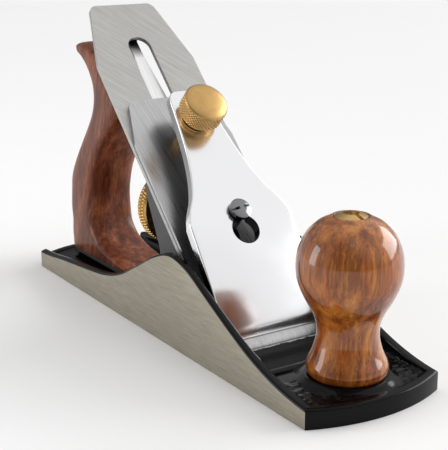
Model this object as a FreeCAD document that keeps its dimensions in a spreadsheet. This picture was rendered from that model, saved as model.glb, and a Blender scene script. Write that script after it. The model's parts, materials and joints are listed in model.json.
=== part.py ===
import FreeCAD, Part
import math
import os
import Sketcher

# A cast-iron smoothing plane of the Bailey pattern.
# Row frame: +X towards the toe, +Y to the left of a person pushing it, +Z up, sole at Z = 0,
# origin at the middle of the sole. All sizes are in millimetres.
#
# The blade lies on a bed inclined to the sole. Places on the bed are given as (up, out):
# "up" runs along the bed from where it meets the sole, "out" is square to the bed, towards the toe.

DIMENSIONS = [
    ("overall_length", 245.0, "sole length, toe to heel"),
    ("body_width", 64.0, "width over the cheeks"),
    ("cheek_thickness", 4.0, "thickness of each cheek"),
    ("sole_thickness", 4.5, "thickness of the sole"),
    ("rim_thickness", 3.6, "thickness of the low rim round toe and heel"),
    ("toe_bulge", 7.2, "how far the curved toe stands past its corners"),
    ("heel_bulge", 10.0, "how far the curved heel stands past its corners"),
    ("heel_lip", 1.4, "height of the lip across the heel above the sole face"),
    ("toe_floor", 6.8, "height of the toe floor above the sole face"),
    ("seat_height", 12.0, "height of the frog seat"),
    ("seat_back", 4.0, "X of the back of the frog seat"),
    ("seat_front", 38.5, "X of the front of the frog seat"),
    ("seat_width", 44.0, "width of the frog seat"),
    ("mouth_width", 54.0, "width of the mouth across the sole"),
    ("mouth_front", 60.5, "X of the front edge of the mouth"),
    ("mouth_clearance", 1.9, "gap along X between bed line and back of the mouth"),
    ("bed_angle", 45.0, "bed angle to the sole, degrees"),
    ("bed_foot", 54.1, "X where the bed line meets the sole"),
    ("knob_place", 99.1, "X of the front knob's axis"),
    ("knob_base_height", 9.2, "height of the boss that carries the knob"),
    ("knob_top", 71.0, "height of the top of the knob"),
    ("knob_ball_radius", 20.2, "largest radius of the knob"),
    ("knob_neck_radius", 12.0, "smallest radius of the knob"),
    ("knob_base_radius", 15.9, "radius of the knob's foot"),
    ("bolt_radius", 3.0, "radius of the knob, handle and frog bolts"),
    ("nut_radius", 6.4, "radius of the brass knob and handle nuts"),
    ("handle_seat", 7.6, "height of the pad under the rear handle"),
    ("handle_width", 24.0, "thickness of the rear handle"),
    ("handle_bolt_foot", -113.0, "X where the handle bolt's axis meets the sole face"),
    ("handle_bolt_tilt", 20.35, "forward lean of the handle bolt, degrees"),
    ("handle_nut_height", 103.5, "height of the top of the handle nut"),
    ("frog_width", 48.0, "width of the frog"),
    ("frog_web", 7.0, "thickness of the frog's side webs"),
    ("frog_plate", 7.0, "thickness of the frog's bed plate"),
    ("frog_top", 92.0, "top of the frog's bed plate, up the bed"),
    ("frog_face", 1.0, "height of the frog's machined face above the bed line"),
    ("slide_gap", 0.1, "gap between sliding faces"),
    ("frog_screw_place", 18.0, "X of the two frog screws"),
    ("frog_screw_spread", 12.0, "distance of each frog screw from the middle"),
    ("stud_height", 46.5, "height of the depth stud's axis"),
    ("stud_radius", 3.5, "radius of the depth stud"),
    ("stud_end", -37.5, "X of the free end of the depth stud"),
    ("wheel_radius", 18.0, "radius of the knurled depth wheel"),
    ("wheel_front", -26.0, "X of the front face of the wheel's rim"),
    ("wheel_width", 7.0, "width of the wheel's rim"),
    ("groove_width", 5.7, "width of the yoke groove in the wheel's hub"),
    ("groove_radius", 7.0, "radius at the bottom of the yoke groove"),
    ("flange_radius", 10.0, "radius of the hub's front flange"),
    ("flange_width", 1.8, "width of the hub's front flange"),
    ("yoke_up", 86.0, "place of the yoke's pivot, up the bed"),
    ("yoke_depth", 4.0, "how far the yoke's pivot lies below the bed face"),
    ("yoke_bar_low", 53.4, "height of the underside of the yoke's crossbar"),
    ("yoke_pin_radius", 1.5, "radius of the yoke's pin"),
    ("yoke_barrel_radius", 3.0, "radius of the yoke's barrel"),
    ("iron_width", 50.8, "width of the plane iron"),
    ("iron_thickness", 2.0, "thickness of the plane iron"),
    ("iron_top", 188.0, "top of the plane iron, up the bed"),
    ("iron_top_width", 33.0, "width of the iron at its top"),
    ("iron_shoulder", 153.5, "where the iron starts to narrow, up the bed"),
    ("iron_slot_width", 11.7, "width of the long slot in the iron"),
    ("iron_slot_top", 168.0, "top of the long slot, up the bed"),
    ("bevel_angle", 25.0, "grinding angle of the cutting edge, degrees"),
    ("breaker_top", 131.0, "top of the chipbreaker, up the bed"),
    ("breaker_thickness", 1.8, "thickness of the chipbreaker"),
    ("cap_iron_screw_place", 46.0, "place of the chipbreaker screw, up the bed"),
    ("cap_foot", 8.0, "lower edge of the lever cap, up the bed"),
    ("cap_end", 124.0, "upper end of the lever cap, up the bed"),
    ("cap_screw_place", 60.0, "place of the lever cap screw, up the bed"),
    ("cap_screw_head", 4.8, "radius of the lever cap screw's head"),
    ("cap_keyhole", 51.5, "centre of the lever cap's keyhole, up the bed"),
    ("cap_keyhole_radius", 6.5, "radius of the lever cap's keyhole"),
    ("thumb_place", 108.2, "place of the thumb screw, up the bed"),
    ("thumb_radius", 10.05, "radius of the knurled thumb screw head"),
    ("lateral_place", 106.0, "pivot of the lateral lever, up the bed"),
    ("lateral_width", 13.0, "width of the lateral lever"),
    ("lateral_top", 176.8, "upper end of the lateral lever, up the bed"),
    ("lateral_roller_place", 98.0, "place of the roller, up the bed"),
    ("adjuster_height", 8.2, "height of the frog adjusting screw's axis"),
]

doc = FreeCAD.newDocument("smoothing_plane")
sheet = doc.addObject("Spreadsheet::Sheet", "Dimensions")
for row, (alias, value, meaning) in enumerate(DIMENSIONS, 1):
    sheet.set(f"A{row}", meaning)
    sheet.set(f"B{row}", str(value))
    sheet.setAlias(f"B{row}", alias)
doc.recompute()

Vector = FreeCAD.Vector
UP = Vector(0, 0, 1)
nodes = []


def size(alias):
    """The value of one driving dimension."""
    return float(sheet.get(alias))


def cell(alias):
    """The expression that reads one driving dimension."""
    return "Dimensions." + alias


BED = FreeCAD.Rotation(Vector(0, 1, 0), size("bed_angle")) * FreeCAD.Rotation(UP, 90)


def bed_place(up=0.0, out=0.0):
    """Placement on the bed: local X across, local Y up the bed, local Z out of it."""
    foot = Vector(size("bed_foot"), 0, 0)
    return FreeCAD.Placement(foot + BED.multVec(Vector(0, up, out)), BED)


def bed_point(up, out):
    """(X, Z) of a place on the bed."""
    spot = bed_place(up, out).Base
    return (spot.x, spot.z)


# ---------------------------------------------------------------- building helpers


def new_body(label, place=None):
    """A PartDesign body that becomes one node."""
    made = doc.addObject("PartDesign::Body", label)
    made.Label = label
    if place is not None:
        made.Placement = place
    nodes.append(made)
    return made


def bind(feature, name, value):
    """Sets a feature's size, as an expression where it is text."""
    if isinstance(value, str):
        feature.setExpression(name, value)
    else:
        setattr(feature, name, value)


def sketch(owner, plane, curves, lift=0.0, place=None):
    """A sketch on one of the body's own origin planes."""
    made = owner.newObject("Sketcher::SketchObject", owner.Label + "_sketch")
    support = [f for f in owner.Origin.OriginFeatures if f.Role == plane + "_Plane"][0]
    made.AttachmentSupport = [(support, "")]
    made.MapMode = "FlatFace"
    made.AttachmentOffset = place or FreeCAD.Placement(Vector(0, 0, lift), FreeCAD.Rotation())
    for curve in curves:
        made.addGeometry(curve, False)
    return made


def circle(owner, plane, centre, radius, lift=0.0, place=None):
    """A sketch of one circle whose radius follows an expression or a number."""
    start = radius if isinstance(radius, float) else 1.0
    made = sketch(owner, plane, [Part.Circle(Vector(*centre, 0), UP, start)], lift, place)
    made.addConstraint(Sketcher.Constraint("Radius", 0, start))
    if isinstance(radius, str):
        made.setExpression("Constraints[0]", radius)
    return made


def outline(corners):
    """Closed outline through corners (x, y) or (x, y, radius) joined by straight lines."""
    spots = [Vector(c[0], c[1], 0) for c in corners]
    radii = [c[2] if len(c) > 2 else 0.0 for c in corners]
    starts, ends, curves = [], [], []
    for i, spot in enumerate(spots):
        back = (spots[i - 1] - spot).normalize()
        ahead = (spots[(i + 1) % len(spots)] - spot).normalize()
        half = back.getAngle(ahead) / 2
        run = radii[i] / math.tan(half)
        starts.append(spot + back * run)
        ends.append(spot + ahead * run)
        if radii[i]:
            middle = (back + ahead).normalize() * (radii[i] / math.sin(half) - radii[i])
            curves.append(Part.Arc(starts[i], spot + middle, ends[i]))
    for i in range(len(spots)):
        curves.append(Part.LineSegment(ends[i], starts[(i + 1) % len(spots)]))
    return curves


def smooth(points):
    """A smooth curve through (x, y) points."""
    made = Part.BSplineCurve()
    made.interpolate([Vector(x, y, 0) for x, y in points])
    return made


def chain(*runs):
    """Closed outline from runs of points: a run of two is a line, a longer one is smooth."""
    curves = []
    for run in runs:
        if len(run) == 2:
            curves.append(Part.LineSegment(Vector(*run[0], 0), Vector(*run[1], 0)))
        else:
            curves.append(smooth(run))
    return curves


def slot_outline(centre, low, high, half_width):
    """Closed slot along y with round ends; low and high are the ends' centres."""
    left, right = centre - half_width, centre + half_width
    return [
        Part.LineSegment(Vector(right, low, 0), Vector(right, high, 0)),
        Part.Arc(Vector(right, high, 0), Vector(centre, high + half_width, 0), Vector(left, high, 0)),
        Part.LineSegment(Vector(left, high, 0), Vector(left, low, 0)),
        Part.Arc(Vector(left, low, 0), Vector(centre, low - half_width, 0), Vector(right, low, 0)),
    ]


def rectangle(x_low, y_low, x_high, y_high, radius=0.0):
    """Closed rectangle, its corners rounded where a radius is given."""
    corners = [(x_low, y_low), (x_high, y_low), (x_high, y_high), (x_low, y_high)]
    return outline([(x, y, radius) for x, y in corners])


def pad(owner, profile, length, symmetric=False, reverse=False):
    """Adds material along the sketch's normal, or half each way."""
    made = owner.newObject("PartDesign::Pad", owner.Label + "_pad")
    made.Profile = profile
    made.SideType = "Symmetric" if symmetric else "One side"
    made.Reversed = reverse
    bind(made, "Length", length)
    profile.Visibility = False
    return made


def pocket(owner, profile, length=None, symmetric=False, reverse=False):
    """Removes material against the sketch's normal; with no length it goes right through."""
    made = owner.newObject("PartDesign::Pocket", owner.Label + "_pocket")
    made.Profile = profile
    if length is None:
        made.Type = "ThroughAll"
        made.SideType = "Symmetric"
    else:
        made.SideType = "Symmetric" if symmetric else "One side"
        made.Reversed = reverse
        bind(made, "Length", length)
    return made


def revolve(owner, profile, axis="V_Axis"):
    """Turns a sketch a full circle about one of its own axes."""
    made = owner.newObject("PartDesign::Revolution", owner.Label + "_turned")
    made.Profile = profile
    made.ReferenceAxis = (profile, [axis])
    made.Angle = 360.0
    return made


def turned(label, place, profile_curves):
    """A turned body: the sketch's x is the radius and its y is the height along local Z."""
    made = new_body(label, place)
    revolve(made, sketch(made, "XZ", profile_curves))
    return made


def upright(x, y=0.0):
    """Placement of a turned piece with an upright axis."""
    return FreeCAD.Placement(Vector(x, y, 0), FreeCAD.Rotation())


# ---------------------------------------------------------------- body casting

half_length = size("overall_length") / 2
half_width = size("body_width") / 2
inner_half = half_width - size("cheek_thickness")
toe_corner = half_length - size("toe_bulge")
heel_corner = -half_length + size("heel_bulge")
rim = size("rim_thickness")


def plan(half, toe_x, toe_mid, heel_x, heel_mid):
    """Plan of the body: straight sides with a curved toe and a curved heel."""
    return [
        Part.LineSegment(Vector(heel_x, -half, 0), Vector(toe_x, -half, 0)),
        Part.Arc(Vector(toe_x, -half, 0), Vector(toe_mid, 0, 0), Vector(toe_x, half, 0)),
        Part.LineSegment(Vector(toe_x, half, 0), Vector(heel_x, half, 0)),
        Part.Arc(Vector(heel_x, half, 0), Vector(heel_mid, 0, 0), Vector(heel_x, -half, 0)),
    ]


# Height of the cheeks from toe to heel: low at both ends, with one hump beside the frog.
CHEEK_LINE = [
    (130, 7.4), (112, 8.2), (96, 10.9), (80, 16), (64, 23.2), (48, 31.3), (34, 38.3), (21, 41),
    (8, 37.2), (-8, 28.7), (-24, 20.6), (-40, 16), (-60, 13.6), (-85, 11.2), (-106, 8.8), (-130, 8.2),
]


def tilted_handle_axis(height):
    """Placement on the handle bolt's axis at a height above the sole face, Z along the bolt."""
    lean = math.radians(size("handle_bolt_tilt"))
    x = size("handle_bolt_foot") + height * math.tan(lean)
    turn = FreeCAD.Rotation(Vector(0, 1, 0), size("handle_bolt_tilt"))
    return FreeCAD.Placement(Vector(x, 0, height), turn)


def make_body_casting():
    body = new_body("body_casting")
    tall = 45.0
    floor = size("sole_thickness")
    base = 4.0
    shell = plan(half_width, toe_corner, half_length, heel_corner, -half_length)
    pad(body, sketch(body, "XY", shell), tall)
    above = [[(130, 60), (130, CHEEK_LINE[0][1])], CHEEK_LINE,
             [(-130, CHEEK_LINE[-1][1]), (-130, 60)], [(-130, 60), (130, 60)]]
    pocket(body, sketch(body, "XZ", chain(*above)))
    tray = plan(inner_half, toe_corner - 2.2, half_length - rim, heel_corner + 2.6, -half_length + rim)
    pocket(body, sketch(body, "XY", tray, lift=floor), tall, reverse=True)

    heel_gap = rectangle(-130, -inner_half + 0.6, heel_corner + 6, inner_half - 0.6)
    pocket(body, sketch(body, "XY", heel_gap, lift=floor + size("heel_lip")), tall, reverse=True)

    span = 2 * inner_half + 0.4
    mouth_front = size("mouth_front")
    ahead = [(mouth_front - 6, base), (mouth_front - 6, 8.4), (66, 8.1), (67.5, 6.5), (78.5, 6.4),
             (78.5, base)]
    pad(body, sketch(body, "XZ", outline(ahead)), span, symmetric=True)
    cross_rib = [(78, base), (78, 8.3, 1.2), (82.5, 8.3, 1.2), (84.5, base)]
    pad(body, sketch(body, "XZ", outline(cross_rib)), span, symmetric=True)
    toe_plan = [
        Part.LineSegment(Vector(80, -inner_half - 0.2, 0), Vector(toe_corner - 2, -inner_half - 0.2, 0)),
        Part.Arc(Vector(toe_corner - 2, -inner_half - 0.2, 0), Vector(half_length - rim + 0.2, 0, 0),
                 Vector(toe_corner - 2, inner_half + 0.2, 0)),
        Part.LineSegment(Vector(toe_corner - 2, inner_half + 0.2, 0), Vector(80, inner_half + 0.2, 0)),
        Part.LineSegment(Vector(80, inner_half + 0.2, 0), Vector(80, -inner_half - 0.2, 0)),
    ]
    pad(body, sketch(body, "XY", toe_plan, lift=base), cell("toe_floor") + f" - {base}")
    boss = circle(body, "XY", (size("knob_place"), 0), cell("knob_base_radius") + " + 2.6", lift=base)
    pad(body, boss, cell("knob_base_height") + f" - {base}")

    seat = [(size("seat_back"), base), (size("seat_back"), size("seat_height"), 1.0),
            (size("seat_front"), size("seat_height"), 1.0), (size("seat_front") + 3.5, base)]
    pad(body, sketch(body, "XZ", outline(seat)), cell("seat_width"), symmetric=True)
    tray_rib = [(-47, base), (-46, 7.0, 0.8), (-43, 7.0, 0.8), (-42, base)]
    pad(body, sketch(body, "XZ", outline(tray_rib)), span, symmetric=True)
    handle_pad = rectangle(-117, -10, -53, 10, 6)
    pad(body, sketch(body, "XY", handle_pad, lift=base), cell("handle_seat") + f" - {base}")

    foot = size("bed_foot")
    slack = size("mouth_clearance")
    mouth_top = 9.0
    mouth = [(foot - slack + 5, -5), (foot - slack - mouth_top, mouth_top), (mouth_front, mouth_top),
             (mouth_front, -5)]
    pocket(body, sketch(body, "XZ", outline(mouth)), cell("mouth_width"), symmetric=True)

    fit = " + 0.05"
    knob_hole = circle(body, "XY", (size("knob_place"), 0), cell("bolt_radius") + fit,
                       lift=size("knob_base_height"))
    pocket(body, knob_hole, cell("knob_base_height") + " - 2")
    for side in (-1, 1):
        spot = (size("frog_screw_place"), side * size("frog_screw_spread"))
        hole = circle(body, "XY", spot, cell("bolt_radius") + fit, lift=size("seat_height"))
        pocket(body, hole, cell("seat_height") + " - 2.5")
    handle_hole = circle(body, "XY", (0, 0), cell("bolt_radius") + fit, place=tilted_handle_axis(9.5))
    pocket(body, handle_hole, 7.8)
    adjuster_hole = circle(body, "YZ", (0, size("adjuster_height")), 2.5, lift=18.0)
    pocket(body, adjuster_hole, 18.0 - size("seat_back") + 2)


# ---------------------------------------------------------------- front knob


def make_front_knob():
    foot = size("knob_base_height") + 0.05
    top = size("knob_top")
    bore = size("bolt_radius") + 0.05
    nut_seat = size("nut_radius") + 0.1
    ball, neck, base = size("knob_ball_radius"), size("knob_neck_radius"), size("knob_base_radius")
    side = [(base, foot), (base - 0.4, 12.8), (neck + 0.9, 19.5), (neck, 26), (neck + 1.5, 33),
            (ball - 2.0, 41.5), (ball, 51.5), (ball - 1.9, 61), (13.2, 68.2), (nut_seat + 0.4, top)]
    turned("front_knob", upright(size("knob_place")), chain(
        [(bore, foot), (base, foot)], side, [(nut_seat + 0.4, top), (nut_seat, top)],
        [(nut_seat, top), (nut_seat, top - 4)], [(nut_seat, top - 4), (bore, top - 4)],
        [(bore, top - 4), (bore, foot)]))
    radius = size("bolt_radius")
    turned("knob_bolt", upright(size("knob_place")), rectangle(0, 2.5, radius, top - 1.0))
    make_nut("knob_nut", upright(size("knob_place")), top - 3.95, 4.9)


def make_nut(label, place, low, height):
    """A slotted brass nut with a domed top, on its own axis."""
    radius = size("nut_radius")
    bore = size("bolt_radius") + 0.04
    top = low + height
    made = turned(label, place, chain(
        [(bore, low), (radius, low)], [(radius, low), (radius, top - 1.2)],
        [(radius, top - 1.2), (radius * 0.7, top - 0.4), (bore, top)], [(bore, top), (bore, low)]))
    pocket(made, sketch(made, "XY", rectangle(-radius - 1, -0.8, radius + 1, 0.8), lift=top), 1.6)


# ---------------------------------------------------------------- rear handle


def make_rear_handle():
    handle = new_body("rear_handle")
    low = size("handle_seat") + 0.05
    rear = [(-118.0, 28), (-116.6, 42), (-108.5, 56), (-96, 71.5), (-87.6, 84), (-86.6, 96), (-92.5, 104.6),
            (-102.6, 111.2)]
    horn = [(-102.6, 111.2), (-103.4, 113.6), (-101.4, 115.3)]
    crown = [(-101.4, 115.3), (-90, 116.2), (-78, 110.5), (-68, 100.5), (-62, 89.5), (-62.6, 83),
             (-69.5, 76.6), (-79.5, 66.5),
             (-88, 53.6), (-92.4, 39), (-91.4, 26), (-86, 17), (-74, 12.4), (-56, 10)]
    profile = chain([(-54, low), (-116.6, low)], [(-116.6, low), (-118.0, 28)], rear, horn, crown,
                    [(-56, 10), (-54, low)])
    pad(handle, sketch(handle, "XZ", profile), cell("handle_width"), symmetric=True)
    reach = size("handle_nut_height") - 5.0
    bore = circle(handle, "XY", (0, 0), cell("bolt_radius") + " + 0.05", place=tilted_handle_axis(70))
    pocket(handle, bore)
    seat = circle(handle, "XY", (0, 0), cell("nut_radius") + " + 0.1", place=tilted_handle_axis(reach))
    pocket(handle, seat, 25.0, reverse=True)
    place = tilted_handle_axis(0)
    lean = math.cos(math.radians(size("handle_bolt_tilt")))
    turned("handle_bolt", place, rectangle(0, 3.4, size("bolt_radius"), (reach + 3.6) / lean))
    make_nut("handle_nut", place, reach / lean + 0.05, 5.0)


# ---------------------------------------------------------------- frog and what is fixed to it


def bed_outline(*spots):
    """Closed outline in X and Z through (up, out) places on the bed."""
    return outline([bed_point(*spot) for spot in spots])


def make_frog():
    frog = new_body("frog")
    plate = size("frog_plate")
    top = size("frog_top")
    gap = size("slide_gap")
    seat = size("seat_height") + gap
    face = size("frog_face")
    toe_low, toe_high = bed_point(7.1, face), bed_point(top, face)
    side = [toe_low, toe_high, bed_point(top, -4), (-1.5, 38), (0.5, 30), (0.5, seat),
            (size("seat_front") + 1.5, seat), (size("seat_front") + 5.5, toe_low[1])]
    pad(frog, sketch(frog, "XZ", outline(side)), cell("frog_width"), symmetric=True)
    inside = size("frog_width") - 2 * size("frog_web")
    base_top = seat + 5.0
    inner = bed_point(0, -plate)
    line = inner[0] + inner[1]
    hollow = [(line - base_top, base_top, 3), (line - 70, 70), (-45, 70), (-45, base_top)]
    pocket(frog, sketch(frog, "XZ", outline(hollow)), inside, symmetric=True)
    tongue = bed_outline((84, -3), (114, -3), (114, -8.4), (84, -8.4))
    pad(frog, sketch(frog, "XZ", tongue), 24.0, symmetric=True)

    screw_recess = bed_outline((26, face + 1), (58, face + 1), (58, -3.4), (26, -3.4))
    pocket(frog, sketch(frog, "XZ", screw_recess), 22.0, symmetric=True)
    window = rectangle(-4.4, 79.5, 4.4, 93.5)
    pocket(frog, sketch(frog, "XY", window, place=bed_place(0, face + 1)), 15.0)
    cap_hole = circle(frog, "XY", (0, 0), 3.95, place=bed_place(size("cap_screw_place"), face + 1))
    pocket(frog, cap_hole, 13.0)
    pivot = bed_point(size("yoke_up"), -size("yoke_depth"))
    pin_hole = circle(frog, "XZ", pivot, cell("yoke_pin_radius") + " + 0.03")
    pocket(frog, pin_hole, 30.4, symmetric=True)
    rivet_hole = circle(frog, "XY", (0, 0), 2.45, place=bed_place(size("lateral_place"), 1))
    pocket(frog, rivet_hole, 14.0)
    stud_hole = circle(frog, "YZ", (0, size("stud_height")), cell("stud_radius") + " + 0.04", lift=3.0)
    pocket(frog, stud_hole, 20.0)
    clip_hole = circle(frog, "YZ", (0, seat + 2.7), 1.55, lift=7.0)
    pocket(frog, clip_hole, 12.0)
    for side_of in (-1, 1):
        spread = side_of * size("frog_screw_spread")
        long_hole = [
            Part.LineSegment(Vector(size("frog_screw_place") - 2, spread - 3.3, 0),
                             Vector(size("frog_screw_place") + 2, spread - 3.3, 0)),
            Part.Arc(Vector(size("frog_screw_place") + 2, spread - 3.3, 0),
                     Vector(size("frog_screw_place") + 5.3, spread, 0),
                     Vector(size("frog_screw_place") + 2, spread + 3.3, 0)),
            Part.LineSegment(Vector(size("frog_screw_place") + 2, spread + 3.3, 0),
                             Vector(size("frog_screw_place") - 2, spread + 3.3, 0)),
            Part.Arc(Vector(size("frog_screw_place") - 2, spread + 3.3, 0),
                     Vector(size("frog_screw_place") - 5.3, spread, 0),
                     Vector(size("frog_screw_place") - 2, spread - 3.3, 0)),
        ]
        pocket(frog, sketch(frog, "XY", long_hole, lift=base_top + 1), 12.0)
        access = circle(frog, "XY", (size("frog_screw_place"), spread), 7.5, lift=base_top)
        pocket(frog, access, 40.0, reverse=True)


def along_x(x, height):
    """Placement whose Z points towards the heel, for pieces turned about a level axis."""
    return FreeCAD.Placement(Vector(x, 0, height), FreeCAD.Rotation(Vector(0, 1, 0), -90))


def make_frog_fittings():
    seat = size("seat_height") + size("slide_gap")
    start = 2.5
    length = start - size("stud_end")
    radius = size("stud_radius")
    turned("depth_stud", along_x(start, size("stud_height")), outline(
        [(0, 0), (radius, 0), (radius, length, 1.0), (0, length)]))

    pin = new_body("yoke_pin")
    pivot = bed_point(size("yoke_up"), -size("yoke_depth"))
    pad(pin, circle(pin, "XZ", pivot, cell("yoke_pin_radius")), 30.0, symmetric=True)

    turned("lateral_rivet", bed_place(size("lateral_place"), 0), outline(
        [(0, -9.0), (2.4, -9.0), (2.4, -0.7), (3.5, -0.7), (3.5, 0.7, 0.6), (0, 0.7)]))

    head = size("cap_screw_head")
    low, top = 19.65, 22.5
    screw = turned("lever_cap_screw", bed_place(size("cap_screw_place"), 0), chain(
        [(0, -6.5), (3.6, -6.5)], [(3.6, -6.5), (3.6, low)], [(3.6, low), (head, low)],
        [(head, low), (head, top - 1.1)], [(head, top - 1.1), (head * 0.6, top - 0.3), (0, top)],
        [(0, top), (0, -6.5)]))
    driver_slot = sketch(screw, "XY", rectangle(-7, -0.6, 7, 0.6), place=FreeCAD.Placement(
        Vector(0, 0, top), FreeCAD.Rotation(UP, 6)))
    pocket(screw, driver_slot, 1.6)

    clip = new_body("frog_adjusting_clip")
    level = size("adjuster_height")
    plate = outline([(-5.5, 5.0, 1), (5.5, 5.0, 1), (5.5, seat + 4.8, 1.5), (-5.5, seat + 4.8, 1.5)])
    pad(clip, sketch(clip, "YZ", plate, lift=-1.0), 1.4)
    pocket(clip, sketch(clip, "YZ", slot_outline(0, 2.0, level, 2.4)))
    pocket(clip, circle(clip, "YZ", (0, seat + 2.7), 1.55))
    turned("clip_screw", along_x(6.0, seat + 2.7), outline(
        [(0, 0), (1.5, 0), (1.5, 7.05), (2.1, 7.05), (2.1, 8.5, 0.5), (0, 8.5)]))

    turned("frog_adjusting_screw", along_x(16.0, level), outline(
        [(0, 0), (2.45, 0), (2.45, 14.0), (3.6, 14.0), (3.6, 15.3), (2.1, 15.3), (2.1, 17.3),
         (3.6, 17.3), (3.6, 23.5, 0.6), (0, 23.5)]))
    adjuster = nodes[-1]
    pocket(adjuster, sketch(adjuster, "XY", rectangle(-5, -0.6, 5, 0.6), lift=23.5), 1.8)


def make_frog_screws():
    """Two screws and their washers hold the frog to the body casting."""
    seat = size("seat_height") + size("slide_gap")
    washer_low = seat + 5.1
    spread = size("frog_screw_spread")
    x = size("frog_screw_place")
    washers = []
    screws = []
    for side in (-1, 1):
        spot = Vector(x, side * spread, 0)
        ring = Part.makeCylinder(6.0, 1.2, spot + Vector(0, 0, washer_low))
        washers.append(ring.cut(Part.makeCylinder(3.1, 3, spot + Vector(0, 0, washer_low - 1))))
        shank = Part.makeCylinder(size("bolt_radius"), washer_low - 2.0, spot + Vector(0, 0, 3.4))
        head_low = washer_low + 1.25
        head = Part.makeCylinder(5.0, 3.4, spot + Vector(0, 0, head_low))
        groove = Part.makeBox(12, 1.4, 2, spot + Vector(-6, -0.7, head_low + 2.0))
        screws.append(shank.fuse(head).cut(groove).removeSplitter())
    for label, solids in (("frog_screws", screws), ("frog_screw_washers", washers)):
        made = doc.addObject("Part::Feature", label)
        made.Label = label
        made.Shape = Part.makeCompound(solids)
        made.Placement = FreeCAD.Placement()
        nodes.append(made)


# ---------------------------------------------------------------- depth adjustment


def make_depth_wheel():
    front = size("wheel_front") + size("groove_width") + size("flange_width")
    rim_low = front - size("wheel_front")
    back = rim_low + size("wheel_width")
    groove_low = size("flange_width")
    bore = size("stud_radius") + 0.05
    outer, flange, groove = size("wheel_radius"), size("flange_radius"), size("groove_radius")
    turned("depth_wheel", along_x(front, size("stud_height")), outline([
        (bore, 0), (flange, 0, 0.4), (flange, groove_low, 0.4), (groove, groove_low), (groove, rim_low),
        (outer - 4, rim_low), (outer, rim_low + 0.2, 0.8), (outer, back, 0.8), (outer - 3.2, back, 0.6),
        (outer - 4.2, back - 2.4, 0.6), (8, back - 2.4), (7.2, back + 0.8, 0.6), (bore, back + 0.8)]))


def make_yoke():
    yoke = new_body("yoke")
    up, out = size("yoke_up"), -size("yoke_depth")
    x, z = bed_point(up, out)
    low, high = size("yoke_bar_low"), size("yoke_bar_low") + 3.6
    hub_front = size("wheel_front") + size("groove_width") + size("flange_width")
    pad(yoke, circle(yoke, "XZ", (x, z), cell("yoke_barrel_radius")), 8.0, symmetric=True)
    finger = outline([bed_point(up - 2.2, out), bed_point(up - 1.5, 4.9), bed_point(up + 1.5, 4.9),
                      bed_point(up + 2.2, out)])
    pad(yoke, sketch(yoke, "XZ", finger), 7.0, symmetric=True)
    stem = outline([(x + 1, z - 2.6), (x + 1, z + 2.0), (hub_front + 1.9, high), (hub_front + 0.7, low),
                    (hub_front + 5.6, low)])
    pad(yoke, sketch(yoke, "XZ", stem), 8.0, symmetric=True)
    bar = outline([(hub_front + 5.6, low), (hub_front + 2.0, high), (hub_front + 0.7, high),
                   (hub_front + 0.7, low)])
    pad(yoke, sketch(yoke, "XZ", bar), 24.6, symmetric=True)
    back = size("wheel_front") + 1.1
    arm = outline([(hub_front + 3.0, low), (hub_front + 2.0, high), (back, high, 1.5),
                   (back, size("stud_height") - 1.5, 1.0), (back + 2.4, size("stud_height") - 1.5, 1.0),
                   (back + 2.4, low)])
    for lift in (8.8, -12.3):
        pad(yoke, sketch(yoke, "XZ", arm, lift=lift), 3.5)
    pocket(yoke, circle(yoke, "XZ", (x, z), cell("yoke_pin_radius") + " + 0.05"), 60.0, symmetric=True)


# ---------------------------------------------------------------- iron and chipbreaker


def make_iron():
    back = size("frog_face") + size("slide_gap")
    face = back + size("iron_thickness")
    edge = 0.14 - face
    bevel = size("iron_thickness") / math.tan(math.radians(size("bevel_angle")))
    top = size("iron_top")
    iron = new_body("plane_iron", bed_place())
    strip = outline([(edge, face), (edge + bevel, back), (top, back), (top, face)])
    pad(iron, sketch(iron, "YZ", strip), cell("iron_width"), symmetric=True)
    half, half_top = size("iron_width") / 2, size("iron_top_width") / 2
    frame_corners = rectangle(-60, -60, 60, 260)
    shape = outline([(-half, -30), (half, -30), (half, size("iron_shoulder"), 4), (half_top, top, 4),
                     (-half_top, top, 4), (-half, size("iron_shoulder"), 4)])
    pocket(iron, sketch(iron, "XY", frame_corners + shape))
    slot_half = size("iron_slot_width") / 2
    slot = slot_outline(0, 30, size("iron_slot_top") - slot_half, slot_half)
    pocket(iron, sketch(iron, "XY", slot))
    pocket(iron, circle(iron, "XY", (0, 27), 8.5))


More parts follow.
